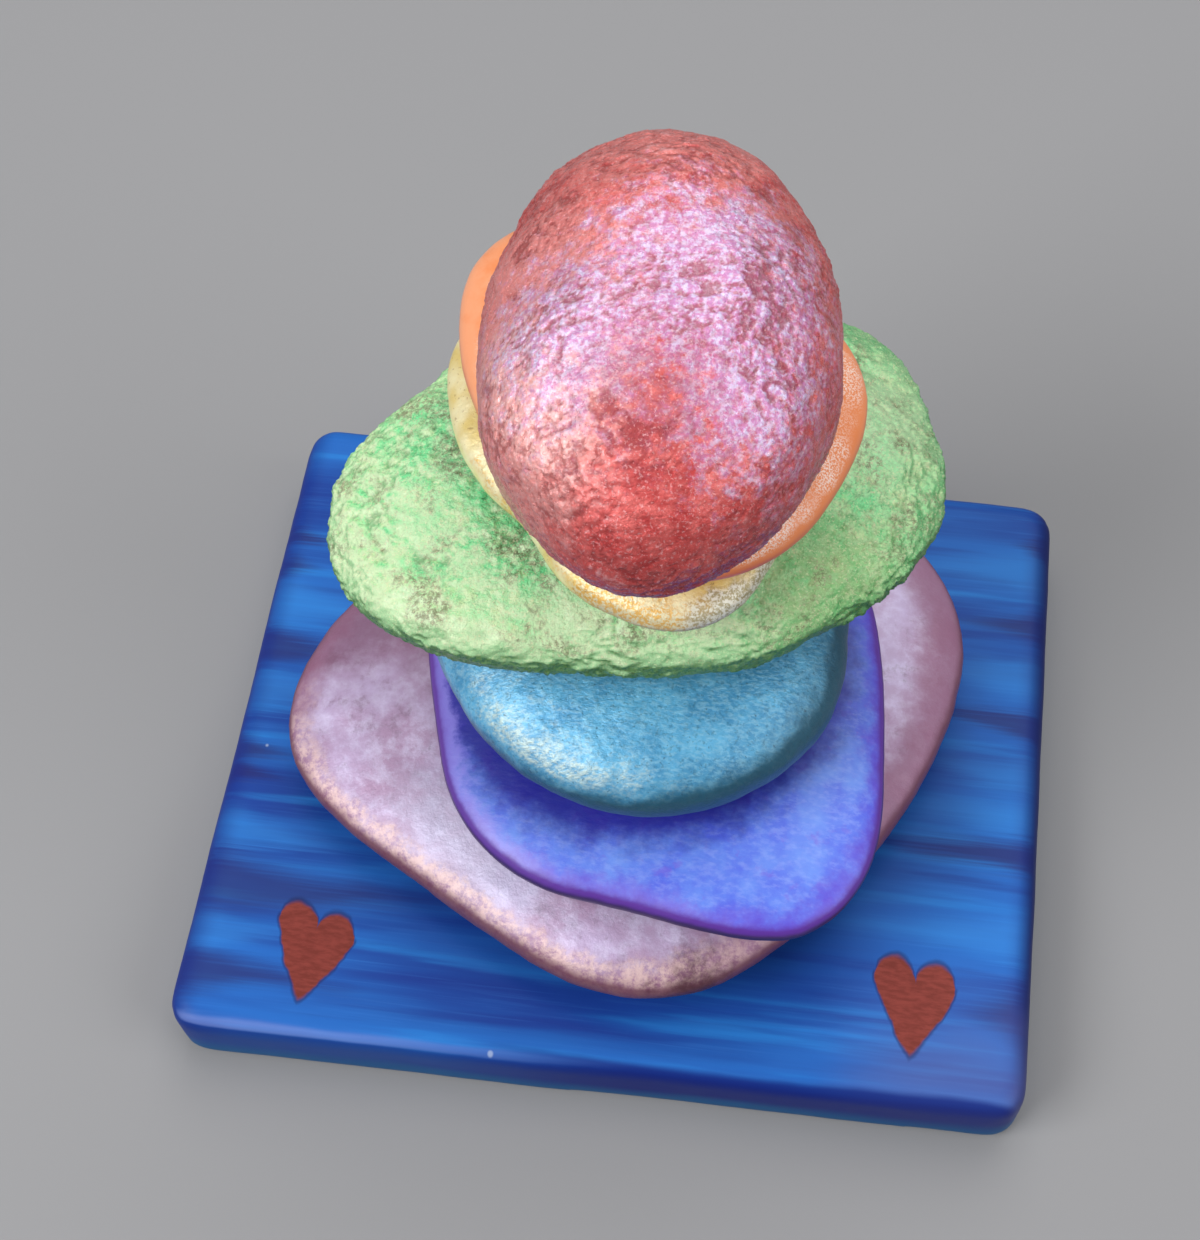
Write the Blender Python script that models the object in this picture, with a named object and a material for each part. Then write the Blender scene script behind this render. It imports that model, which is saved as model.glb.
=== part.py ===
"""A stone cairn: seven painted pebbles stacked on a small painted board.

Metres, +Z up. The origin is the middle of the board's underside.
Each stone is set down on what is below it, so heights follow from the shapes.
"""

import math
import random

import bmesh
import bpy
from mathutils import Matrix, Vector, noise
from mathutils.bvhtree import BVHTree

# Sizes below are in millimetres, and the finished meshes are scaled to metres.
MM = 0.001
CONTACT_GAP = 0.3
DROP_HEIGHT = 500.0

# The board was cut by hand, so its corners are a little out of square.
BOARD_CORNERS = ((-75.0, -64.8), (75.0, -62.4), (75.8, 60.3), (-74.6, 63.4))
BOARD_THICKNESS = 16.0
BOARD_CORNER_RADIUS = 5.5
BOARD_TOP_ROUND = 3.0
BOARD_BASE_ROUND = 2.0
BOARD_CORNER_STEPS = 5
BOARD_SIDE_STEPS = 7
BOARD_ROUND_STEPS = 3
WAVE_HEIGHT = 0.35
WAVE_LENGTH = 30.0

# The roughness of a stone: octaves of lumps, and how much pits differ in size.
LUMP_OCTAVES = 4
PIT_SPREAD = (0.6, 1.4)
DEEPEST_PIT = 1.2
SEED_STEP = Vector((7.3, 3.1, 5.7))


def remove_everything():
    """Leaves the file empty, whatever it opened with."""
    for thing in list(bpy.data.objects):
        bpy.data.objects.remove(thing, do_unlink=True)


def paint(name, colour, roughness, metallic=0.0):
    """A painted finish of one colour."""
    material = bpy.data.materials.new(name)
    material.use_nodes = True
    shader = material.node_tree.nodes["Principled BSDF"]
    shader.inputs["Base Color"].default_value = (*colour, 1.0)
    shader.inputs["Roughness"].default_value = roughness
    shader.inputs["Metallic"].default_value = metallic
    return material


def add_object(name, bm, material):
    """Puts a finished mesh in the scene, with its millimetres turned into metres."""
    bmesh.ops.triangulate(bm, faces=bm.faces[:])
    bmesh.ops.recalc_face_normals(bm, faces=bm.faces[:])
    bmesh.ops.scale(bm, vec=(MM, MM, MM), verts=bm.verts[:])
    mesh = bpy.data.meshes.new(name)
    bm.to_mesh(mesh)
    bm.free()
    mesh.shade_smooth()
    mesh.materials.append(material)
    thing = bpy.data.objects.new(name, mesh)
    bpy.context.scene.collection.objects.link(thing)
    return thing


def rounded_corner(before, corner, after):
    """Points of the arc that rounds one corner of the board."""
    to_before = (before - corner).normalized()
    to_after = (after - corner).normalized()
    half = to_before.angle(to_after) / 2
    middle = corner + (to_before + to_after).normalized() * (BOARD_CORNER_RADIUS / math.sin(half))
    start = corner + to_before * (BOARD_CORNER_RADIUS / math.tan(half)) - middle
    step = (math.pi - 2 * half) / BOARD_CORNER_STEPS
    return [middle + Matrix.Rotation(step * k, 2) @ start for k in range(BOARD_CORNER_STEPS + 1)]


def wavy_side(start, end):
    """Points between two corners, wandering a little as a hand-cut side does."""
    points = []
    for step in range(1, BOARD_SIDE_STEPS):
        share = step / BOARD_SIDE_STEPS
        along = start.lerp(end, share)
        wave = noise.noise(along.to_3d() / WAVE_LENGTH) * WAVE_HEIGHT
        points.append(along + along.normalized() * wave * math.sin(math.pi * share))
    return points


def board_outline():
    """The board's outline from above, counter-clockwise, centred on the origin."""
    corners = [Vector(corner) for corner in BOARD_CORNERS]
    arcs = [rounded_corner(corners[k - 1], corners[k], corners[(k + 1) % 4]) for k in range(4)]
    points = []
    for k, arc in enumerate(arcs):
        points += arc + wavy_side(arc[-1], arcs[(k + 1) % 4][0])
    low = Vector((min(p.x for p in points), min(p.y for p in points)))
    high = Vector((max(p.x for p in points), max(p.y for p in points)))
    return [p - (low + high) / 2 for p in points]


def board_levels():
    """Height and inset of each ring up the board's edge, rounded below and above."""
    turns = [math.pi / 2 * k / BOARD_ROUND_STEPS for k in range(BOARD_ROUND_STEPS + 1)]
    below = [(BOARD_BASE_ROUND * (1 - math.cos(t)), BOARD_BASE_ROUND * (1 - math.sin(t))) for t in turns]
    above = []
    for t in turns:
        height = BOARD_THICKNESS - BOARD_TOP_ROUND * (1 - math.sin(t))
        above.append((height, BOARD_TOP_ROUND * (1 - math.cos(t))))
    return below + above


def make_board():
    """A flat slab with rounded corners and edges, flat underneath to stand on."""
    outline = board_outline()
    count = len(outline)
    sides = [outline[(k + 1) % count] - outline[k - 1] for k in range(count)]
    outward = [Vector((side.y, -side.x)).normalized() for side in sides]
    bm = bmesh.new()
    rings = []
    for height, inset in board_levels():
        spots = [p - n * inset for p, n in zip(outline, outward)]
        rings.append([bm.verts.new((s.x, s.y, height)) for s in spots])
    for lower, upper in zip(rings, rings[1:]):
        for k in range(count):
            following = (k + 1) % count
            bm.faces.new((lower[k], lower[following], upper[following], upper[k]))
    bm.faces.new(list(reversed(rings[0])))
    bm.faces.new(rings[-1])
    return add_object("base_board", bm, paint("cobalt_blue_paint", (0.02, 0.10, 0.42), 0.45))


def ball(cells):
    """A unit ball with cells by cells faces on each of its six sides, evenly spread."""
    bm = bmesh.new()
    bmesh.ops.create_cube(bm, size=2.0)
    bmesh.ops.subdivide_edges(bm, edges=bm.edges[:], cuts=cells - 1, use_grid_fill=True)
    for vertex in bm.verts:
        spread = Vector([math.tan(part * math.pi / 4) for part in vertex.co])
        vertex.co = spread.normalized()
    return bm


def closed_spline(values, at):
    """Reads a smooth closed curve through evenly spaced values, at a share from 0 to 1 of the way round."""
    count = len(values)
    place = (at % 1.0) * count
    first = int(place) % count
    t = place - int(place)
    a, b, c, d = (values[(first + k - 1) % count] for k in range(4))
    return b + 0.5 * t * (c - a + t * (2 * a - 5 * b + 4 * c - d + t * (3 * (b - c) + d - a)))


def pebble_point(direction, reach, half_height, squareness):
    """Where a pebble's smooth surface lies in one direction from its middle."""
    turn = math.atan2(direction.y, direction.x)
    level = math.hypot(direction.x, direction.y) ** (2 / squareness)
    out = closed_spline(reach, turn / math.tau) * level
    up = math.copysign(abs(direction.z) ** (2 / squareness), direction.z)
    return Vector((math.cos(turn) * out, math.sin(turn) * out, up * half_height))


def add_lumps(bm, size, height, seed):
    """Swells and hollows of about one size, pushed in and out of the surface."""
    bm.normal_update()
    moves = []
    for vertex in bm.verts:
        swell = noise.fractal(vertex.co / size + SEED_STEP * seed, 1.0, 2.0, LUMP_OCTAVES)
        moves.append(vertex.normal * swell * height)
    for vertex, move in zip(bm.verts, moves):
        vertex.co += move


def add_pits(bm, count, radius, depth, seed):
    """Shallow worn pits at scattered places."""
    bm.verts.ensure_lookup_table()
    pick = random.Random(seed)
    spots = [bm.verts[pick.randrange(len(bm.verts))].co.copy() for _ in range(count)]
    sizes = [radius * pick.uniform(*PIT_SPREAD) for _ in range(count)]
    bm.normal_update()
    for vertex in bm.verts:
        sink = sum(math.exp(-(((vertex.co - spot).length / size) ** 2)) for spot, size in zip(spots, sizes))
        vertex.co -= vertex.normal * depth * min(sink, DEEPEST_PIT)


def pebble(reach, half_height, squareness, cells, lumps, seed, pits=None):
    """One stone about its own middle.

    reach is how far its edge lies from the middle, at even steps round from +X.
    lumps are their size and height; pits are their count, radius and depth.
    """
    bm = ball(cells)
    for vertex in bm.verts:
        vertex.co = pebble_point(vertex.co, reach, half_height, squareness)
    add_lumps(bm, *lumps, seed)
    if pits:
        add_pits(bm, *pits, seed)
    bmesh.ops.triangulate(bm, faces=bm.faces[:])
    return bm


def set_down(bm, centre, below):
    """Moves a stone to its place over the board and lowers it until it all but touches what is below."""
    bmesh.ops.translate(bm, vec=(*centre, DROP_HEIGHT), verts=bm.verts[:])
    bm.verts.index_update()
    points = [v.co.copy() for v in bm.verts]
    stone = BVHTree.FromPolygons(points, [[v.index for v in f.verts] for f in bm.faces])
    points_below = [v.co / MM for v in below.data.vertices]
    ground = BVHTree.FromPolygons(points_below, [list(p.vertices) for p in below.data.polygons])
    down = [(point, ground.ray_cast(point, Vector((0, 0, -1)))[0]) for point in points]
    up = [(stone.ray_cast(point, Vector((0, 0, 1)))[0], point) for point in points_below]
    drops = [high.z - low.z for high, low in down + up if high and low]
    bmesh.ops.translate(bm, vec=(0, 0, CONTACT_GAP - min(drops)), verts=bm.verts[:])


def make_pink_stone(below):
    """The widest stone: flat, with a blunt point to the front and to either side."""
    reach = (59, 64, 62, 59, 55.5, 52.5, 50, 49, 50, 53, 60, 63.5, 58, 53, 53.5, 58, 60.5, 57, 54.5, 55.5)
    bm = pebble(reach, half_height=9.0, squareness=2.5, cells=11, lumps=(40, 1.0), seed=1)
    set_down(bm, (-2, 6), below)
    return add_object("pink_stone", bm, paint("pearl_pink_paint", (0.50, 0.24, 0.34), 0.4, 0.2))


def make_violet_stone(below):
    """A thin flat skimming stone with one long corner to the front right."""
    reach = (41.5, 42, 44.5, 43.5, 43, 43, 43.5, 44, 44, 43, 39, 37.5, 39.5, 41, 41.5, 41, 45.5, 53, 51, 44.5)
    bm = pebble(reach, half_height=6.0, squareness=2.8, cells=9, lumps=(40, 0.6), seed=2)
    set_down(bm, (3, -2), below)
    return add_object("violet_stone", bm, paint("blue_violet_paint", (0.12, 0.12, 0.62), 0.35))


def make_blue_stone(below):
    """A nearly round, domed stone."""
    reach = (35.5, 36.5, 37, 36.5, 36.5, 36.5, 37, 34.5, 36, 38, 39, 38.5)
    bm = pebble(reach, half_height=12.0, squareness=2.3, cells=9, lumps=(30, 0.7), seed=3)
    set_down(bm, (1, 4), below)
    return add_object("blue_stone", bm, paint("teal_blue_paint", (0.08, 0.38, 0.50), 0.45, 0.2))


def make_green_stone(below):
    """A broad rough stone that overhangs to either side."""
    reach = (50.5, 49.5, 49.5, 41.5, 38, 36, 35.5, 36.5, 38.5, 39,
             47, 51.5, 51.5, 45.5, 39.5, 36, 37.5, 40.5, 42, 46.5)
    pits = (26, 5.0, 0.7)
    bm = pebble(reach, half_height=11.0, squareness=2.4, cells=13, lumps=(22, 2.0), seed=4, pits=pits)
    set_down(bm, (0, 15), below)
    return add_object("green_stone", bm, paint("apple_green_paint", (0.22, 0.50, 0.20), 0.5, 0.2))


def make_yellow_stone(below):
    """A small flat stone, longer from back left to front right."""
    reach = (33, 31, 30, 31, 32, 30.5, 25.5, 22, 21, 29.5, 37, 32.5)
    bm = pebble(reach, half_height=6.0, squareness=2.5, cells=9, lumps=(25, 0.7), seed=5)
    set_down(bm, (-3, 11), below)
    return add_object("yellow_stone", bm, paint("cream_yellow_paint", (0.70, 0.55, 0.20), 0.4, 0.2))


def make_orange_stone(below):
    """A smooth oval stone, longer from back left to front right."""
    reach = (30.5, 25.5, 26.5, 29.5, 32, 34.5, 30, 27.5, 30.5, 35.5, 36.5, 33)
    bm = pebble(reach, half_height=7.0, squareness=2.4, cells=9, lumps=(30, 0.4), seed=6)
    set_down(bm, (4, 14), below)
    return add_object("orange_stone", bm, paint("satin_orange_paint", (0.80, 0.25, 0.04), 0.4))


def make_red_stone(below):
    """The topmost stone: a thick egg shape, pitted all over."""
    reach = (24, 23.5, 26, 28.5, 28.5, 24, 24, 25.5, 33.5, 40.5, 35.5, 28)
    pits = (34, 4.0, 0.6)
    bm = pebble(reach, half_height=19.5, squareness=2.1, cells=12, lumps=(16, 1.2), seed=7, pits=pits)
    set_down(bm, (6, 2), below)
    return add_object("red_stone", bm, paint("crimson_paint", (0.42, 0.04, 0.05), 0.4, 0.2))


def build_cairn():
    """Sets the stones on the board, one on another from the bottom up."""
    remove_everything()
    top = make_board()
    top = make_pink_stone(top)
    top = make_violet_stone(top)
    top = make_blue_stone(top)
    top = make_green_stone(top)
    top = make_yellow_stone(top)
    top = make_orange_stone(top)
    make_red_stone(top)


build_cairn()
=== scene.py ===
"""The finish of a painted stone cairn: fine surfaces, procedural paint and soft studio light."""

import math

import bmesh
import bpy
from mathutils import Matrix, Vector, noise


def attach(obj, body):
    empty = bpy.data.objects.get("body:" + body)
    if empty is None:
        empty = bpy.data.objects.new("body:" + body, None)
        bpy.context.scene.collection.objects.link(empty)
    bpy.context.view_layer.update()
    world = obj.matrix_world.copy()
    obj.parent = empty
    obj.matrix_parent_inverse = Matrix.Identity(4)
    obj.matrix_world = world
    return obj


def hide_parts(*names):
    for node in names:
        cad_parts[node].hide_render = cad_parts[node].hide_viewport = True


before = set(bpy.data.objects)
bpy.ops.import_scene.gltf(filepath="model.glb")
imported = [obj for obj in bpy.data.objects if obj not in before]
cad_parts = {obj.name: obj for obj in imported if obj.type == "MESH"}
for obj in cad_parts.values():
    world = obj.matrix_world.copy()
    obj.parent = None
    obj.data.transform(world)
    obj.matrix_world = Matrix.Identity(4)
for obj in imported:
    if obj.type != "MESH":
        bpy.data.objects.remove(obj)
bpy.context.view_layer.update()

BODY = "root"

# Lengths are in millimetres, and MM turns them into metres.
MM = 0.001

# The camera: where it stands, where it aims, how far it leans, and its lens.
CAMERA_PLACE = (28.4, -159.2, 352.4)
CAMERA_AIM = (-5.0, 0.7, 60.0)
CAMERA_ROLL = -4.47
PHOTO_HEIGHT = 1240
FOCAL_PIXELS = 2000
SENSOR = 36.0

# Brush strokes on the board: its side, where it lies from front to back, half its width, its length.
STROKE_START = 76.0
DARK_STROKES = (
    (1, 50, 3, 8), (1, 32, 4, 18), (1, 12, 3, 30), (1, -14, 3.5, 40), (1, -44, 8, 12),
    (-1, 36, 2.5, 16), (-1, 29, 4, 9), (-1, 12, 5, 26), (-1, -10, 4, 13), (-1, -15, 3, 12), (-1, -36, 7, 60),
    (-1, -54, 5, 30),
)
PALE_STROKES = (
    (1, 44, 6, 30), (1, 21, 5, 28), (1, 2, 5, 28), (1, -7, 4, 36), (1, -30, 5, 40), (-1, 21, 6, 28),
    (-1, 2, 5, 26), (-1, -26, 5, 24), (-1, -46, 5, 22),
)

# Directions in which a stone's outline is measured.
RIM_STEPS = 90

FLOOR_SIZE = 6000
FLOOR_COLOUR = (146, 146, 148)


def linear(colour):
    """A colour given as 0 to 255 on a screen, as the shader's linear values."""
    parts = [part / 255 for part in colour]
    return tuple(p / 12.92 if p <= 0.04045 else ((p + 0.055) / 1.055) ** 2.4 for p in parts) + (1.0,)


# Fine meshes made from the CAD solids


def fine_copy(node, name, voxel, rounds):
    """An even, dense and smooth mesh of a CAD solid's own shape."""
    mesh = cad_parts[node].data.copy()
    mesh.name = name
    mesh.materials.clear()
    bm = bmesh.new()
    bm.from_mesh(mesh)
    bmesh.ops.remove_doubles(bm, verts=bm.verts[:], dist=0.01 * MM)
    bm.to_mesh(mesh)
    bm.free()
    piece = bpy.data.objects.new(name, mesh)
    bpy.context.scene.collection.objects.link(piece)
    if rounds:
        curve = piece.modifiers.new("curve", "SUBSURF")
        curve.levels = curve.render_levels = rounds
    remesh = piece.modifiers.new("even", "REMESH")
    remesh.mode = "VOXEL"
    remesh.voxel_size = voxel * MM
    relax = piece.modifiers.new("relax", "SMOOTH")
    relax.factor = 0.5
    relax.iterations = 10
    shown = piece.evaluated_get(bpy.context.evaluated_depsgraph_get())
    piece.data = bpy.data.meshes.new_from_object(shown)
    piece.data.name = name
    piece.modifiers.clear()
    return piece


def keep(mesh, name, values):
    """Stores one number for each point of a mesh, for the paint to read."""
    mesh.attributes.new(name, "FLOAT", "POINT").data.foreach_set("value", values)


def rim_shares(mesh):
    """How far out each point lies, from 0 at the middle to 1 at the outline seen from above."""
    middle = sum((vertex.co for vertex in mesh.vertices), Vector()) / len(mesh.vertices)
    arms = [(vertex.co - middle).to_2d() for vertex in mesh.vertices]
    places = [math.atan2(arm.y, arm.x) % math.tau / math.tau * RIM_STEPS for arm in arms]
    reach = [0.0] * RIM_STEPS
    for place, arm in zip(places, arms):
        nearest = round(place) % RIM_STEPS
        reach[nearest] = max(reach[nearest], arm.length)
    shares = []
    for place, arm in zip(places, arms):
        first = int(place) % RIM_STEPS
        along = place - int(place)
        shares.append(arm.length / (reach[first] * (1 - along) + reach[(first + 1) % RIM_STEPS] * along))
    return shares


def shape_surface(piece, depth, height_at):
    """Sinks each point below the solid's own surface, by up to depth where the height is 0.

    The height is also kept with the points, so that the paint can darken the hollows with painted shade and lighten
    the ridges with painted highlights.
    """
    mesh = piece.data
    heights = [height_at(vertex.co / MM) for vertex in mesh.vertices]
    keep(mesh, "rim", rim_shares(mesh))
    moved = []
    for vertex, corner, height in zip(mesh.vertices, mesh.vertex_normals, heights):
        moved.append(vertex.co + corner.vector * min(height - 0.85, 0.0) * depth * MM)
    for vertex, place in zip(mesh.vertices, moved):
        vertex.co = place
    keep(mesh, "height", heights)
    mesh.update()
    mesh.shade_smooth()


def shifted(point, size, seed, stretch=(1, 1, 1)):
    """The place in a noise field for one feature size, pushed about a little."""
    spot = Vector(p / (size * s) for p, s in zip(point, stretch)) + Vector((seed, seed * 2.3, seed * 3.1))
    return spot + noise.noise_vector(spot * 0.6) * 0.7


def creases(point, size, seed, stretch=(1, 1, 1)):
    """Rounded bumps parted by sharp creases, from 0 in a crease to 1."""
    return min(abs(noise.noise(shifted(point, size, seed, stretch))) * 2.6, 1.0)


def dimples(point, size, seed):
    """Scattered round pits, from 0 to 1 at their middles."""
    spot = point / size + Vector((seed * 3.0, seed, seed * 2.0))
    near, middles = noise.voronoi(spot, distance_metric="DISTANCE", exponent=2.5)
    share = max(0.0, 1.0 - near[0] / 0.55)
    chance = noise.cell(middles[0] * 7.0)
    return share * share * (3 - 2 * share) * max(0.0, chance)


def rough(point, seed, size):
    """The crumpled, pitted surface of a coarse stone."""
    spot = shifted(point, size, seed, (1.3, 1.15, 1))
    crumple = noise.turbulence(spot, 4, True, noise_basis="PERLIN_NEW", amplitude_scale=0.66, frequency_scale=2.0)
    fine = creases(point, 0.8, seed + 6, (1.2, 1.1, 1))
    wear = 0.75 + 0.7 * noise.noise(point / 12.0 + Vector((0, seed, 0)))
    pits = dimples(point, 5.5, seed)
    return 0.5 + (crumple - 0.8 + 0.35 * (fine - 0.5)) * wear - 0.5 * pits


def gentle(point, size, seed):
    """The faint swells of a smooth pebble."""
    return 0.5 + 0.5 * noise.fractal(point / size + Vector((seed, 0, 0)), 0.8, 2.0, 4)


# Node materials


class Paint:
    """Builds one node material, with coordinates in millimetres of the object."""

    def __init__(self, name, roughness, metallic=0.0, coat=0.0, coat_roughness=0.3):
        self.material = bpy.data.materials.new(name)
        self.material.use_nodes = True
        self.tree = self.material.node_tree
        self.shader = self.tree.nodes["Principled BSDF"]
        self.shader.inputs["Roughness"].default_value = roughness
        self.shader.inputs["Metallic"].default_value = metallic
        self.shader.inputs["Coat Weight"].default_value = coat
        self.shader.inputs["Coat Roughness"].default_value = coat_roughness
        place = self.node("ShaderNodeTexCoord").outputs["Object"]
        self.place = self.scaled(place, (1 / MM,) * 3)

    def node(self, kind, **settings):
        made = self.tree.nodes.new(kind)
        for key, value in settings.items():
            setattr(made, key, value)
        return made

    def feed(self, socket, value):
        """Sets a socket to a number or colour, or links it to another node."""
        if isinstance(value, bpy.types.NodeSocket):
            self.tree.links.new(value, socket)
        else:
            socket.default_value = value

    def scaled(self, vector, scale, offset=(0, 0, 0), turn=0.0):
        mapping = self.node("ShaderNodeMapping")
        self.feed(mapping.inputs["Vector"], vector)
        mapping.inputs["Scale"].default_value = scale
        mapping.inputs["Location"].default_value = offset
        mapping.inputs["Rotation"].default_value = (0, 0, turn)
        return mapping.outputs["Vector"]

    def noise(self, size, detail=4.0, roughness=0.5, distortion=0.0, place=None):
        """Cloudy noise whose features are about size millimetres."""
        made = self.node("ShaderNodeTexNoise")
        self.feed(made.inputs["Vector"], place or self.place)
        made.inputs["Scale"].default_value = 1 / size
        made.inputs["Detail"].default_value = detail
        made.inputs["Roughness"].default_value = roughness
        made.inputs["Distortion"].default_value = distortion
        return made.outputs["Fac"]

    def cells(self, size, place=None):
        """A random value for each small cell."""
        made = self.node("ShaderNodeTexVoronoi")
        self.feed(made.inputs["Vector"], place or self.place)
        made.inputs["Scale"].default_value = 1 / size
        split = self.node("ShaderNodeSeparateColor")
        self.feed(split.inputs["Color"], made.outputs["Color"])
        return split.outputs["Red"]

    def math(self, operation, a, b=0.0, c=0.0, clamp=False):
        made = self.node("ShaderNodeMath", operation=operation, use_clamp=clamp)
        for socket, value in zip(made.inputs, (a, b, c)):
            self.feed(socket, value)
        return made.outputs["Value"]

    def fade(self, value, low, high, start=0.0, end=1.0):
        """Turns a value between low and high into a smooth step from start to end."""
        made = self.node("ShaderNodeMapRange", interpolation_type="SMOOTHSTEP")
        for name, number in (("Value", value), ("From Min", low), ("From Max", high), ("To Min", start), ("To Max", end)):
            self.feed(made.inputs[name], number)
        return made.outputs["Result"]

    def mix(self, share, first, second, kind="MIX"):
        """Mixes two colours, each a socket or a screen colour."""
        made = self.node("ShaderNodeMix", data_type="RGBA", blend_type=kind)
        self.feed(made.inputs["Factor"], share)
        for socket, colour in ((made.inputs[6], first), (made.inputs[7], second)):
            self.feed(socket, colour if isinstance(colour, bpy.types.NodeSocket) else linear(colour))
        return made.outputs[2]

    def up(self):
        """How far the surface faces up, from -1 to 1."""
        split = self.node("ShaderNodeSeparateXYZ")
        self.feed(split.inputs["Vector"], self.node("ShaderNodeNewGeometry").outputs["Normal"])
        return split.outputs["Z"]

    def facing(self, direction):
        """How squarely the surface faces a direction, from -1 to 1."""
        made = self.node("ShaderNodeVectorMath", operation="DOT_PRODUCT")
        self.feed(made.inputs[0], self.node("ShaderNodeNewGeometry").outputs["Normal"])
        made.inputs[1].default_value = Vector(direction).normalized()
        return made.outputs["Value"]

    def patch(self, direction, widths, blur):
        """1 where the surface faces about a direction, fading to 0 at widths from it."""
        away = self.node("ShaderNodeVectorMath", operation="SUBTRACT")
        self.feed(away.inputs[0], self.node("ShaderNodeNewGeometry").outputs["Normal"])
        away.inputs[1].default_value = Vector(direction).normalized()
        scaled = self.node("ShaderNodeVectorMath", operation="DIVIDE")
        self.feed(scaled.inputs[0], away.outputs["Vector"])
        scaled.inputs[1].default_value = widths
        far = self.node("ShaderNodeVectorMath", operation="LENGTH")
        self.feed(far.inputs[0], scaled.outputs["Vector"])
        return self.fade(self.math("ADD", far.outputs["Value"], blur), 1.2, 0.4)

    def round(self, middle, inner, outer, cloud, ragged):
        """1 within inner millimetres of an upright axis, fading to 0 at outer, with a ragged edge."""
        flat = self.node("ShaderNodeVectorMath", operation="MULTIPLY_ADD")
        self.feed(flat.inputs[0], self.place)
        flat.inputs[1].default_value = (1, 1, 0)
        flat.inputs[2].default_value = (-middle[0], -middle[1], 0)
        far = self.node("ShaderNodeVectorMath", operation="LENGTH")
        self.feed(far.inputs[0], flat.outputs["Vector"])
        wander = self.math("MULTIPLY_ADD", cloud, 2 * ragged, -ragged)
        return self.fade(self.math("ADD", far.outputs["Value"], wander), outer, inner)

    def part(self, axis, place=None):
        """One coordinate of a place: X, Y or Z."""
        split = self.node("ShaderNodeSeparateXYZ")
        self.feed(split.inputs["Vector"], place or self.place)
        return split.outputs[axis]

    def layer(self, colour, share, paint, most=1.0):
        """Lays a paint over a colour where share is 1, at most most thick."""
        if most < 1.0:
            share = self.math("MULTIPLY", share, most)
        return self.mix(share, colour, paint)

    def kept(self, name):
        """A number stored with the points of the mesh."""
        return self.node("ShaderNodeAttribute", attribute_name=name).outputs["Fac"]

    def height(self, low, high):
        """0 in the hollows of the surface and 1 on its ridges."""
        return self.fade(self.kept("height"), low, high)

    def bump(self, height, strength, distance):
        """Adds fine relief of the given depth in millimetres."""
        made = self.node("ShaderNodeBump")
        made.inputs["Strength"].default_value = strength
        made.inputs["Distance"].default_value = distance * MM
        self.feed(made.inputs["Height"], height)
        earlier = self.shader.inputs["Normal"].links
        if earlier:
            self.feed(made.inputs["Normal"], earlier[0].from_socket)
        self.feed(self.shader.inputs["Normal"], made.outputs["Normal"])

    def finish(self, colour):
        self.feed(self.shader.inputs["Base Color"], colour)
        return self.material


def red_paint():
    paint = Paint("red_pearl", roughness=0.36, metallic=0.45, coat=0.35, coat_roughness=0.22)
    paint.feed(paint.shader.inputs["Roughness"], paint.fade(paint.noise(0.6, 3), 0.3, 0.7, 0.26, 0.46))
    cloud = paint.math("MULTIPLY_ADD", paint.noise(5, 6, 0.75), 2.6, -1.3)
    grain = paint.fade(paint.noise(0.7, 3, 0.7), 0.42, 0.62)
    colour = paint.mix(paint.fade(paint.noise(4, 6, 0.7), 0.35, 0.65), (188, 56, 56), (230, 112, 108))
    # Painted highlight: lighter salmon where the surface faces up and back.
    top = paint.patch((-0.05, 0.45, 0.88), (0.9, 0.5, 0.5), cloud)
    colour = paint.layer(colour, top, (246, 156, 150), 0.5)
    wander = paint.noise(4, 6, 0.75)
    # Painted sheen: paler salmon over the left and lower left of the stone.
    colour = paint.layer(colour, paint.round((-10.0, -6.0), 8.0, 20.0, wander, 12.0), (240, 158, 154), 0.6)
    salmon_sheen = paint.round((-10.0, -22.0), 8.0, 18.0, wander, 12.0)
    colour = paint.layer(colour, salmon_sheen, paint.mix(grain, (252, 180, 174), (255, 204, 200)), 0.85)
    fine = paint.noise(2.2, 5, 0.75)
    # Painted sheen: a lilac pearly veil over the raised crumples near the middle.
    painted_sheen = 0.0
    for middle, inner, outer in (((-1.0, -12.0), 3.0, 17.0), ((13.0, -4.0), 7.0, 21.0), ((19.0, -17.0), 2.0, 15.0)):
        painted_sheen = paint.math("MAXIMUM", painted_sheen, paint.round(middle, inner, outer, fine, 22.0))
    painted_sheen = paint.math("MULTIPLY", painted_sheen, paint.fade(paint.kept("height"), 0.0, 0.6, 0.65, 1.0))
    colour = paint.layer(colour, painted_sheen, paint.mix(grain, (206, 142, 200), (228, 220, 255)), 0.95)
    wine = paint.round((7.0, -21.0), 1.0, 13.0, fine, 22.0)
    wine = paint.math("MULTIPLY", wine, paint.fade(paint.kept("height"), 0.2, 0.8, 1.0, 0.35))
    colour = paint.layer(colour, wine, (160, 68, 82), 0.6)
    colour = paint.layer(colour, paint.fade(paint.kept("rim"), 0.86, 1.0), (192, 62, 62), 0.5)
    # Painted highlights on the ridges of the relief.
    colour = paint.layer(colour, paint.height(0.55, 0.95), (254, 196, 200), 0.5)
    # Painted shade in the hollows of the relief.
    colour = paint.layer(colour, paint.height(0.3, 0.0), (140, 24, 30), 0.6)
    # Painted shade: deep red on the underside.
    colour = paint.layer(colour, paint.fade(paint.up(), 0.1, -0.4), (150, 30, 36), 0.8)
    # Painted glints: scattered pale flecks of sparkle.
    colour = paint.layer(colour, paint.fade(paint.noise(0.4, 2, 0.6), 0.54, 0.7), (254, 206, 210), 0.35)
    paint.bump(paint.noise(0.5, 5, 0.7), 1.0, 0.15)
    paint.bump(paint.noise(1.3, 4, 0.6), 0.9, 0.35)
    return paint.finish(colour)


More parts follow.
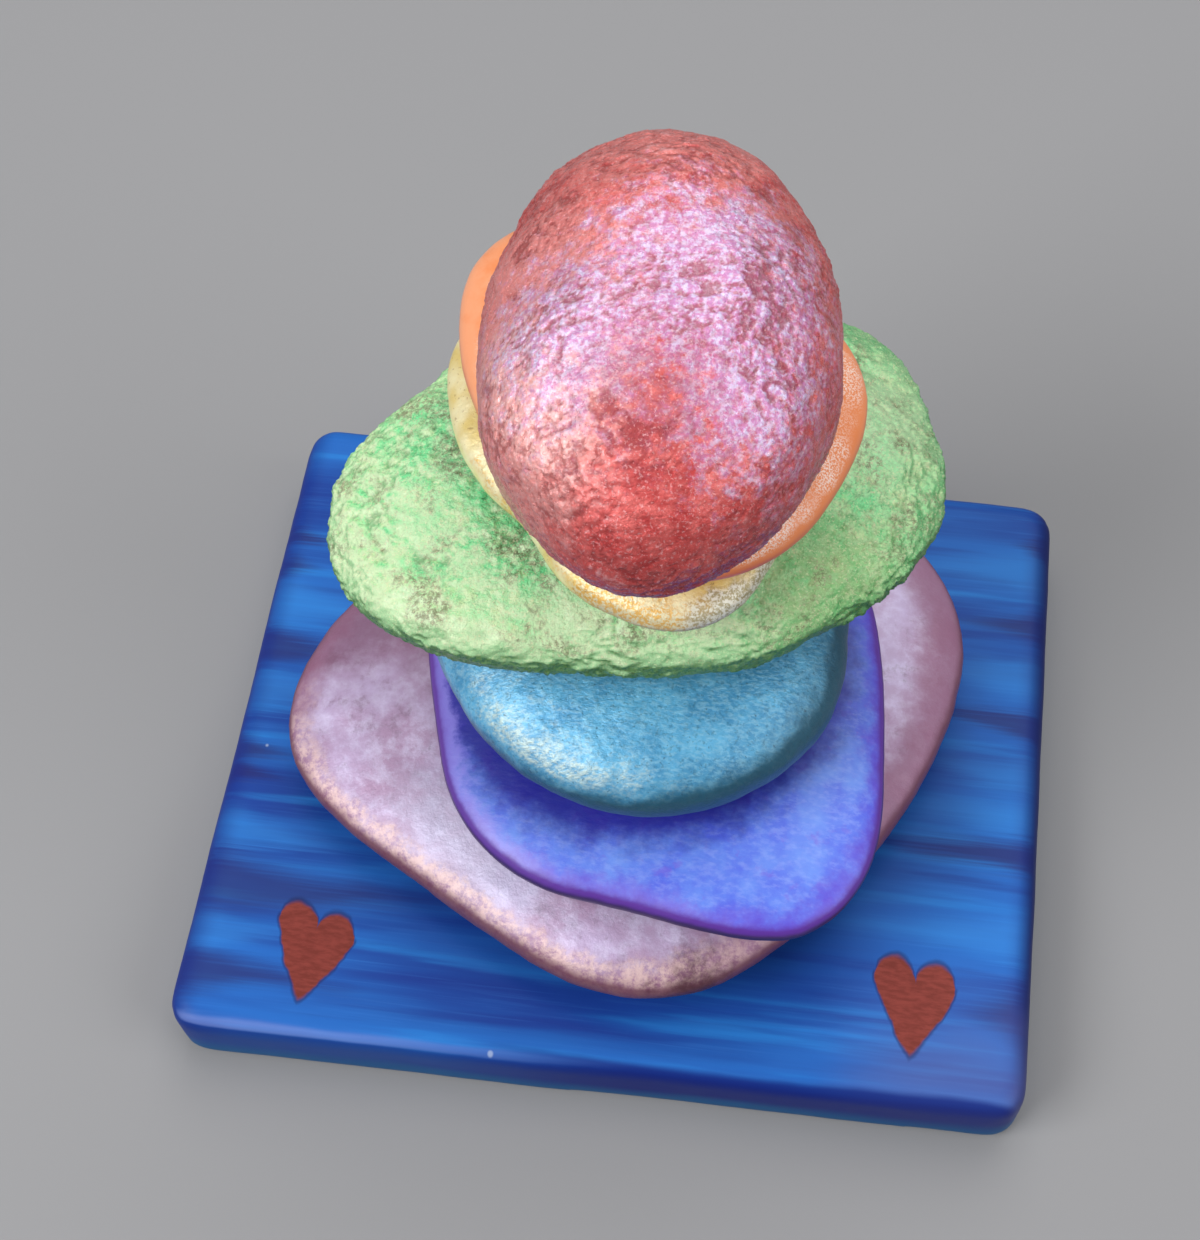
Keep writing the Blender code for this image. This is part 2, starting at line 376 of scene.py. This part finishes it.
def orange_paint():
    paint = Paint("orange_satin", roughness=0.36, coat=0.3, coat_roughness=0.25)
    colour = paint.mix(paint.noise(12, 3), (230, 126, 68), (242, 150, 94))
    # Painted highlight: paler peach on the side facing up and to the left.
    painted_highlight = paint.fade(paint.math("ADD", paint.facing((-0.8, -0.1, 0.6)), paint.noise(5, 5, 0.65)), 1.1, 1.5)
    colour = paint.layer(colour, painted_highlight, (246, 186, 148), 0.4)
    # Painted glints: fine white sparkle on the band that faces up and to the front right.
    zone = paint.fade(paint.math("ADD", paint.facing((0.3, -0.3, 0.9)), paint.noise(8, 4)), 1.2, 1.55)
    speck = paint.fade(paint.noise(0.25, 2, 0.6), 0.46, 0.56)
    colour = paint.layer(colour, paint.math("MULTIPLY", speck, zone), (254, 236, 226), 0.8)
    # Painted shade: deeper orange on the underside.
    colour = paint.layer(colour, paint.fade(paint.up(), 0.5, -0.2), (204, 88, 36), 0.8)
    paint.bump(paint.noise(0.5, 3), 0.5, 0.06)
    return paint.finish(colour)


def yellow_paint():
    paint = Paint("yellow_gold", roughness=0.38, metallic=0.3, coat=0.2, coat_roughness=0.3)
    colour = paint.mix(paint.fade(paint.noise(6, 4), 0.35, 0.65), (236, 212, 130), (250, 242, 196))
    gold = paint.fade(paint.noise(0.55, 4, 0.75), 0.44, 0.56)
    zone = paint.fade(paint.math("ADD", paint.facing((0.25, -0.9, 0.3)), paint.noise(4, 4)), 0.9, 1.2)
    foil = paint.mix(gold, (226, 220, 184), (222, 164, 48))
    silver = paint.mix(gold, (226, 228, 222), (150, 142, 112))
    side = paint.fade(paint.math("MULTIPLY_ADD", paint.noise(5, 4), 14, paint.part("X")), 16, 24)
    colour = paint.layer(colour, zone, paint.mix(side, foil, silver), 0.85)
    colour = paint.layer(colour, paint.fade(paint.noise(0.8, 3, 0.6), 0.38, 0.3), (170, 138, 84), 0.6)
    # Painted shade: dull ochre on the underside.
    colour = paint.layer(colour, paint.fade(paint.up(), 0.1, -0.5), (170, 140, 84), 0.8)
    paint.bump(paint.noise(0.6, 4, 0.65), 0.9, 0.16)
    return paint.finish(colour)


def green_paint():
    paint = Paint("green_pearl", roughness=0.38, metallic=0.08, coat=0.3, coat_roughness=0.2)
    paint.feed(paint.shader.inputs["Roughness"], paint.fade(paint.noise(0.6, 3), 0.3, 0.7, 0.26, 0.44))
    colour = paint.mix(paint.fade(paint.noise(4, 6, 0.75), 0.34, 0.64), (126, 250, 168), (202, 254, 196))
    colour = paint.layer(colour, paint.fade(paint.noise(3, 6, 0.75), 0.5, 0.64), (246, 250, 184), 0.35)
    warm = paint.fade(paint.math("MULTIPLY_ADD", paint.noise(4, 5, 0.7), 0.5, paint.kept("rim")), 0.95, 1.2)
    colour = paint.layer(colour, warm, (246, 252, 186), 0.3)
    # How squarely the relief faces up, front and left, for the painted light and shade below.
    lit = paint.facing((-0.55, -0.75, 0.35))
    # Painted shade: thin dark lines along the fine creases.
    crinkle_shade = paint.math("ABSOLUTE", paint.math("SUBTRACT", paint.noise(2.2, 5, 0.6, 0.4), 0.5))
    colour = paint.layer(colour, paint.fade(crinkle_shade, 0.035, 0.0), (64, 150, 80), 0.33)
    # Painted shade where the relief turns away from the front left, and painted highlight where it faces it.
    colour = paint.layer(colour, paint.fade(lit, 0.22, -0.14), (48, 150, 84), 0.55)
    colour = paint.layer(colour, paint.fade(lit, 0.4, 0.7), (234, 255, 208), 0.7)
    # Painted shade in the hollows of the relief.
    colour = paint.layer(colour, paint.height(0.2, -0.2), (62, 140, 74), 0.5)
    # Painted light: a paler patch over the right side, where the stones above cast shade.
    painted_light_patch = paint.round((36.0, 26.0), 4.0, 15.0, paint.noise(4, 4), 10.0)
    colour = paint.layer(colour, painted_light_patch, (232, 255, 208), 0.45)
    moss = paint.round((31.0, -4.0), 4.0, 18.0, paint.noise(3, 5, 0.7), 14.0)
    colour = paint.layer(colour, moss, (140, 190, 104), 0.5)
    olive = paint.fade(paint.noise(8, 5, 0.65), 0.48, 0.62)
    scratch = paint.fade(paint.noise(0.8, 6, 0.8), 0.45, 0.56)
    colour = paint.layer(colour, paint.math("MULTIPLY", olive, scratch), (104, 94, 60), 0.75)
    low = paint.math("MULTIPLY_ADD", paint.noise(4, 4), 0.3, paint.up())
    colour = paint.layer(colour, paint.fade(low, 0.95, 0.6), (84, 200, 116), 0.45)
    # Painted glints: scattered pale yellowish flecks of sparkle.
    colour = paint.layer(colour, paint.fade(paint.noise(0.4, 2, 0.6), 0.56, 0.66), (254, 254, 206), 0.5)
    # Painted shade: dark green on the underside, olive where the scratches run.
    colour = paint.layer(colour, paint.fade(low, 0.7, 0.2), paint.mix(scratch, (16, 106, 52), (86, 136, 50)), 0.88)
    paint.bump(paint.noise(0.5, 5, 0.7), 1.0, 0.2)
    paint.bump(paint.noise(1.3, 5, 0.7), 1.0, 0.7)
    return paint.finish(colour)


def blue_paint():
    paint = Paint("blue_pearl", roughness=0.4, metallic=0.25, coat=0.15, coat_roughness=0.35)
    hair = paint.noise(0.5, 4, 0.65, place=paint.scaled(paint.place, (0.45, 1.0, 0.6), turn=-0.7))
    cloud = paint.math("MULTIPLY_ADD", paint.noise(5, 6, 0.75), 3.6, -1.8)
    colour = paint.mix(paint.fade(paint.noise(6, 5, 0.65), 0.35, 0.65), (66, 148, 196), (100, 184, 228))
    colour = paint.layer(colour, paint.fade(hair, 0.42, 0.64), (158, 214, 236), 0.4)
    colour = paint.layer(colour, paint.fade(paint.noise(0.9, 4, 0.7), 0.46, 0.36), (30, 92, 118), 0.4)
    # Painted highlight: cream streaks where the surface faces front and left.
    painted_cream_highlight = paint.patch((-0.3, -0.62, 0.72), (0.4, 0.34, 0.38), paint.math("MULTIPLY", cloud, 0.6))
    colour = paint.layer(colour, paint.math("MULTIPLY", painted_cream_highlight, paint.fade(hair, 0.25, 0.7)), (222, 228, 204), 0.6)
    # Painted shade: dark teal where the surface turns away from the left and from above.
    side = paint.math("MULTIPLY_ADD", paint.facing((-1, 0, 0)), 0.6, paint.up())
    edge = paint.math("MULTIPLY_ADD", cloud, 0.06, side)
    colour = paint.layer(colour, paint.fade(edge, 0.84, 0.25), (12, 72, 94), 0.92)
    colour = paint.layer(colour, paint.fade(paint.noise(0.7, 2), 0.33, 0.26), (30, 74, 96), 0.6)
    paint.bump(hair, 1.0, 0.14)
    paint.bump(paint.noise(1.6, 4, 0.6), 0.8, 0.2)
    return paint.finish(colour)


def violet_paint():
    paint = Paint("violet_satin", roughness=0.42, coat=0.15, coat_roughness=0.35)
    brush = paint.noise(0.9, 5, 0.65, place=paint.scaled(paint.place, (0.5, 1, 1), turn=0.4))
    wander = paint.noise(4, 5, 0.65)
    rim = paint.math("MULTIPLY_ADD", wander, 0.2, paint.kept("rim"))
    colour = paint.mix(paint.fade(paint.noise(9, 5, 0.6), 0.3, 0.7), (78, 100, 232), (108, 150, 244))
    colour = paint.layer(colour, paint.fade(brush, 0.42, 0.7), (160, 180, 250), 0.35)
    colour = paint.layer(colour, paint.fade(paint.noise(5, 5, 0.65), 0.56, 0.68), (124, 88, 220), 0.4)
    # Painted shadow: dark indigo on the violet stone round the foot of the blue stone above.
    colour = paint.layer(colour, paint.round((1.0, 4.0), 33.5, 41.0, wander, 4.0), (26, 14, 146), 0.9)
    colour = paint.layer(colour, paint.fade(rim, 0.96, 1.08), (92, 68, 212), 0.85)
    # Painted highlight: lavender along the rim where it faces the front left.
    light = paint.math("MULTIPLY", paint.fade(rim, 0.98, 1.04), paint.fade(paint.facing((-0.85, -0.3, 0.5)), 0.5, 0.8))
    colour = paint.layer(colour, light, (180, 172, 250), 0.4)
    # Painted shade: dark purple down the steep sides and near-black violet on the underside.
    dark = paint.math("MULTIPLY_ADD", wander, -0.2, paint.up())
    colour = paint.layer(colour, paint.fade(dark, 0.84, 0.58), (88, 30, 144), 0.9)
    colour = paint.layer(colour, paint.fade(dark, 0.5, 0.0), (34, 12, 74), 0.85)
    paint.bump(brush, 0.8, 0.1)
    return paint.finish(colour)


def pink_paint():
    paint = Paint("pink_pearl", roughness=0.42, metallic=0.15, coat=0.15, coat_roughness=0.35)
    wander = paint.noise(6, 6, 0.7)
    right = paint.fade(paint.part("X"), 0, 40)
    rim = paint.math("MULTIPLY_ADD", wander, 0.16, paint.kept("rim"))
    rim = paint.math("MULTIPLY_ADD", right, 0.07, rim)
    colour = paint.mix(paint.fade(paint.noise(14, 4), 0.3, 0.7), (180, 146, 180), (200, 182, 220))
    colour = paint.layer(colour, paint.fade(paint.noise(3.5, 6, 0.75), 0.42, 0.66), (222, 212, 242), 0.55)
    colour = paint.layer(colour, paint.fade(paint.noise(5, 6, 0.75), 0.52, 0.68), (132, 110, 134), 0.5)
    # Darker dusty rose over the back left: partly the stone's own rose tint, partly painted shade under the overhang
    # of the stones above.
    rose_and_shade = paint.math("MULTIPLY_ADD", paint.noise(10, 5, 0.65), 30, paint.part("Y"))
    left = paint.fade(paint.part("X"), 10, -20)
    colour = paint.layer(colour, paint.math("MULTIPLY", left, paint.fade(rose_and_shade, 2, 26)), (122, 78, 106), 0.85)
    # Painted sheen: a pale lilac patch on the front left.
    painted_sheen = paint.round((-24.0, -33.0), 4.0, 24.0, wander, 12.0)
    colour = paint.layer(colour, painted_sheen, (220, 218, 248), 0.6)
    colour = paint.layer(colour, paint.fade(rim, 0.94, 1.08), (146, 94, 124), 0.85)
    # Painted highlight: a broken peach line along the rim where it faces the front left.
    peach_highlight = paint.math("MULTIPLY", paint.fade(rim, 0.98, 1.02), paint.fade(paint.facing((-0.3, -0.8, 0.5)), 0.5, 0.8))
    peach_highlight = paint.math("MULTIPLY", peach_highlight, paint.fade(paint.noise(1.6, 5, 0.75), 0.36, 0.6))
    colour = paint.layer(colour, peach_highlight, (244, 212, 200), 0.6)
    # Painted shade: dark mauve down the steep sides and underside.
    colour = paint.layer(colour, paint.fade(paint.up(), 0.9, 0.5), (108, 58, 80), 0.9)
    tip = paint.round((19.0, -54.0), 1.0, 13.0, paint.noise(4, 6, 0.75), 14.0)
    colour = paint.layer(colour, tip, (70, 26, 40), 0.85)
    paint.bump(paint.noise(0.9, 5, 0.65), 0.9, 0.14)
    return paint.finish(colour)


def heart(paint, tip, lobes, half_width, slack):
    """1 inside a painted heart that runs from its tip to the middle between its lobes, grown by slack."""
    tip, lobes = Vector(tip), Vector(lobes)
    length = (lobes - tip).length
    turn = math.atan2(lobes.x - tip.x, lobes.y - tip.y)
    shift = paint.node("ShaderNodeVectorMath", operation="SUBTRACT")
    wobble = paint.node("ShaderNodeVectorMath", operation="MULTIPLY_ADD")
    grain = paint.node("ShaderNodeTexNoise")
    paint.feed(grain.inputs["Vector"], paint.place)
    grain.inputs["Scale"].default_value = 0.25
    paint.feed(wobble.inputs[0], grain.outputs["Color"])
    wobble.inputs[1].default_value = (1.6, 1.6, 0.0)
    paint.feed(wobble.inputs[2], paint.place)
    paint.feed(shift.inputs[0], wobble.outputs["Vector"])
    shift.inputs[1].default_value = (tip.x + 0.8, tip.y + 0.8, 0.0)
    local = paint.scaled(shift.outputs["Vector"], (1 / half_width, 1 / length, 1), turn=turn)
    across, along = paint.math("ABSOLUTE", paint.part("X", local)), paint.part("Y", local)
    low = paint.math("MULTIPLY", paint.math("POWER", across, 1.3), 0.72)
    bulge = paint.math("SUBTRACT", paint.math("MULTIPLY", across, 2.0), 1.0)
    arch = paint.math("SQRT", paint.math("SUBTRACT", 1.0, paint.math("MULTIPLY", bulge, bulge), clamp=True))
    high = paint.math("MULTIPLY_ADD", arch, 0.25, 0.75)
    above = paint.fade(paint.math("SUBTRACT", along, low), -0.03 - slack, 0.03 - slack)
    below = paint.fade(paint.math("SUBTRACT", high, along), -0.03 - slack, 0.03 - slack)
    inside = paint.math("MULTIPLY", above, below)
    narrow = paint.fade(across, 1.03 + slack, 0.97 + slack)
    return paint.math("MULTIPLY", inside, narrow)


def stroke(paint, across, along, side, level, half_width, length):
    """1 along a soft brush stroke that tapers inward from one side of the board."""
    inward = paint.math("MULTIPLY_ADD", across, side / length, 1 - STROKE_START / length)
    off = paint.math("ABSOLUTE", paint.math("MULTIPLY_ADD", along, 1 / half_width, -level / half_width))
    return paint.fade(paint.math("SUBTRACT", inward, off), -0.4, 0.6)


def board_paint():
    paint = Paint("blue_board_paint", roughness=0.5, coat=0.05, coat_roughness=0.3)
    paint.shader.inputs["Specular IOR Level"].default_value = 0.15
    wander = paint.noise(20, 3, 0.5, place=paint.scaled(paint.place, (0.5, 1, 1)))
    straight = paint.scaled(paint.place, (0.1, 1, 0.3))
    bands = paint.noise(9, 3, 0.5, place=straight)
    strokes = paint.noise(4.5, 4, 0.55, place=paint.scaled(paint.place, (0.06, 1, 0.3)))
    hairs = paint.noise(0.6, 3, 0.6, place=paint.scaled(paint.place, (0.02, 1, 0.3)))
    colour = paint.mix(paint.fade(bands, 0.36, 0.62), (22, 64, 150), (32, 102, 188))
    colour = paint.layer(colour, paint.fade(strokes, 0.52, 0.7), (40, 136, 218), 0.6)
    colour = paint.layer(colour, paint.fade(strokes, 0.46, 0.3), (22, 52, 138), 0.5)
    colour = paint.layer(colour, paint.fade(hairs, 0.5, 0.72), (56, 122, 204), 0.2)
    across, along = paint.part("X"), paint.part("Y")
    bristles = paint.math("MULTIPLY_ADD", hairs, 4, paint.math("MULTIPLY_ADD", wander, 8, -6))
    along = paint.math("ADD", along, bristles)
    for strokes_drawn, coat, most in ((PALE_STROKES, (50, 136, 218), 0.5), (DARK_STROKES, (34, 32, 98), 0.75)):
        share = 0.0
        for drawn in strokes_drawn:
            share = paint.math("MAXIMUM", share, stroke(paint, across, along, *drawn))
        colour = paint.layer(colour, share, coat, most)
    # Painted shade: darker blue spreading round the stones.
    colour = paint.layer(colour, paint.round((4.0, -2.0), 46.0, 66.0, wander, 8.0), (12, 46, 132), 0.45)
    # Painted shadow: dark navy on the board to the right of the pink stone's tip.
    colour = paint.layer(colour, paint.round((34.0, -38.0), 4.0, 18.0, wander, 10.0), (10, 34, 112), 0.45)
    rim = paint.math("ABSOLUTE", across)
    colour = paint.layer(colour, paint.fade(rim, 69, 75), (24, 36, 116), 0.7)
    colour = paint.layer(colour, paint.fade(paint.up(), 0.9, 0.4), (14, 44, 128), 0.8)
    # Painted shade: the right edge and side face darkened to deep navy.
    colour = paint.layer(colour, paint.fade(across, 71, 75), (8, 16, 66), 0.75)
    # Painted sheen: a grey-lilac haze on the front-right corner.
    colour = paint.layer(colour, paint.round((63.0, -64.0), 4.0, 32.0, wander, 16.0), (92, 96, 150), 0.45)
    front = paint.math("MULTIPLY_ADD", wander, 3.0, paint.part("Y"))
    front = paint.math("MULTIPLY", paint.fade(front, -58.0, -59.4), paint.fade(across, -30, 10))
    colour = paint.layer(colour, front, (8, 30, 116), 0.85)
    # Painted highlight: pale lilac-blue on the front-left round-over.
    painted_highlight = paint.patch((-0.1, -0.6, 0.75), (0.9, 0.3, 0.3), paint.math("MULTIPLY_ADD", wander, 1.2, -0.6))
    painted_highlight = paint.math("MULTIPLY", painted_highlight, paint.fade(across, 10, -50))
    colour = paint.layer(colour, painted_highlight, (126, 146, 212), 0.4)
    for speck in ((-17.2, -61.9), (-68.4, -9.1)):
        colour = paint.layer(colour, paint.round(speck, 0.2, 0.6, wander, 1.0), (190, 204, 228), 0.5)
    foot = paint.math("MULTIPLY_ADD", wander, 8, paint.part("Z"))
    colour = paint.layer(colour, paint.fade(foot, 13, 7), (8, 96, 146), 0.75)
    flat = paint.fade(paint.part("Z"), 15.0, 15.4)
    streaks = paint.noise(0.8, 4, 0.6, place=paint.scaled(paint.place, (0.3, 1, 1), turn=0.8))
    brick = paint.mix(paint.fade(streaks, 0.35, 0.65), (116, 46, 38), (136, 58, 50))
    for slack, coat, most in ((0.05, (24, 26, 76), 0.6), (0.0, brick, 1.0)):
        left = heart(paint, (-52.2, -56.7), (-50.6, -39.6), 7.1, slack)
        right = heart(paint, (54.1, -53.4), (54.9, -36.4), 7.1, slack)
        both = paint.math("MULTIPLY", paint.math("MAXIMUM", left, right), flat)
        colour = paint.layer(colour, both, coat, most)
    paint.bump(strokes, 0.4, 0.12)
    paint.bump(hairs, 0.4, 0.05)
    return paint.finish(colour)


def make_piece(node, voxel, depth, height_at, material, rounds=2):
    """Replaces one CAD solid with its dense painted surface."""
    piece = fine_copy(node, node + "_painted", voxel, rounds)
    shape_surface(piece, depth, height_at)
    piece.data.materials.append(material)
    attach(piece, BODY)
    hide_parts(node)
    return piece


def make_floor():
    bm = bmesh.new()
    bmesh.ops.create_grid(bm, x_segments=1, y_segments=1, size=FLOOR_SIZE * MM / 2)
    mesh = bpy.data.meshes.new("studio_floor")
    bm.to_mesh(mesh)
    bm.free()
    floor = bpy.data.objects.new("studio_floor", mesh)
    bpy.context.scene.collection.objects.link(floor)
    material = bpy.data.materials.new("studio_floor")
    material.use_nodes = True
    shader = material.node_tree.nodes["Principled BSDF"]
    shader.inputs["Base Color"].default_value = linear(FLOOR_COLOUR)
    shader.inputs["Roughness"].default_value = 0.9
    mesh.materials.append(material)


def aim(thing, place, target, roll=0.0):
    """Points a camera or a light at a target, leaning by roll degrees."""
    place, target = Vector(place) * MM, Vector(target) * MM
    turn = (target - place).to_track_quat("-Z", "Y").to_matrix() @ Matrix.Rotation(math.radians(roll), 3, "Z")
    thing.matrix_world = Matrix.Translation(place) @ turn.to_4x4()


def make_camera():
    camera = bpy.data.objects.new("camera", bpy.data.cameras.new("camera"))
    bpy.context.scene.collection.objects.link(camera)
    camera.data.sensor_width = SENSOR
    camera.data.lens = FOCAL_PIXELS * SENSOR / PHOTO_HEIGHT
    camera.data.clip_start = 10 * MM
    aim(camera, CAMERA_PLACE, CAMERA_AIM, CAMERA_ROLL)
    bpy.context.scene.camera = camera


def softbox(name, place, size, power, colour=(1, 1, 1)):
    lamp = bpy.data.lights.new(name, "AREA")
    lamp.size = size * MM
    lamp.energy = power
    lamp.color = colour
    thing = bpy.data.objects.new(name, lamp)
    bpy.context.scene.collection.objects.link(thing)
    aim(thing, place, (0, 0, 60))


def make_light():
    world = bpy.data.worlds.new("studio")
    bpy.context.scene.world = world
    world.use_nodes = True
    sky = world.node_tree.nodes["Background"]
    sky.inputs["Color"].default_value = (1.0, 1.0, 1.0, 1.0)
    sky.inputs["Strength"].default_value = 0.35
    softbox("key_softbox", (-650, -480, 800), 600, 8.5)
    softbox("top_softbox", (100, 500, 1000), 900, 5.5)
    softbox("fill_softbox", (850, -250, 700), 700, 4.0)
    view = bpy.context.scene.view_settings
    view.view_transform = "Standard"
    view.look = "None"


make_camera()
make_light()
make_floor()
make_piece("base_board", 1.0, 0.15, lambda p: gentle(p, 12, 1.0), board_paint(), rounds=0)
make_piece("pink_stone", 0.7, 0.4, lambda p: gentle(p, 9, 2.0), pink_paint())
make_piece("violet_stone", 0.56, 0.2, lambda p: gentle(p, 12, 3.0), violet_paint())
make_piece("blue_stone", 0.56, 0.3, lambda p: gentle(p, 6, 4.0), blue_paint())
make_piece("green_stone", 0.45, 0.8, lambda p: rough(p, 5.0, 3.0), green_paint())
make_piece("yellow_stone", 0.48, 0.3, lambda p: gentle(p, 5, 6.0), yellow_paint())
make_piece("orange_stone", 0.54, 0.15, lambda p: gentle(p, 9, 7.0), orange_paint())
make_piece("red_stone", 0.36, 0.46, lambda p: rough(p, 7.0, 2.6), red_paint())
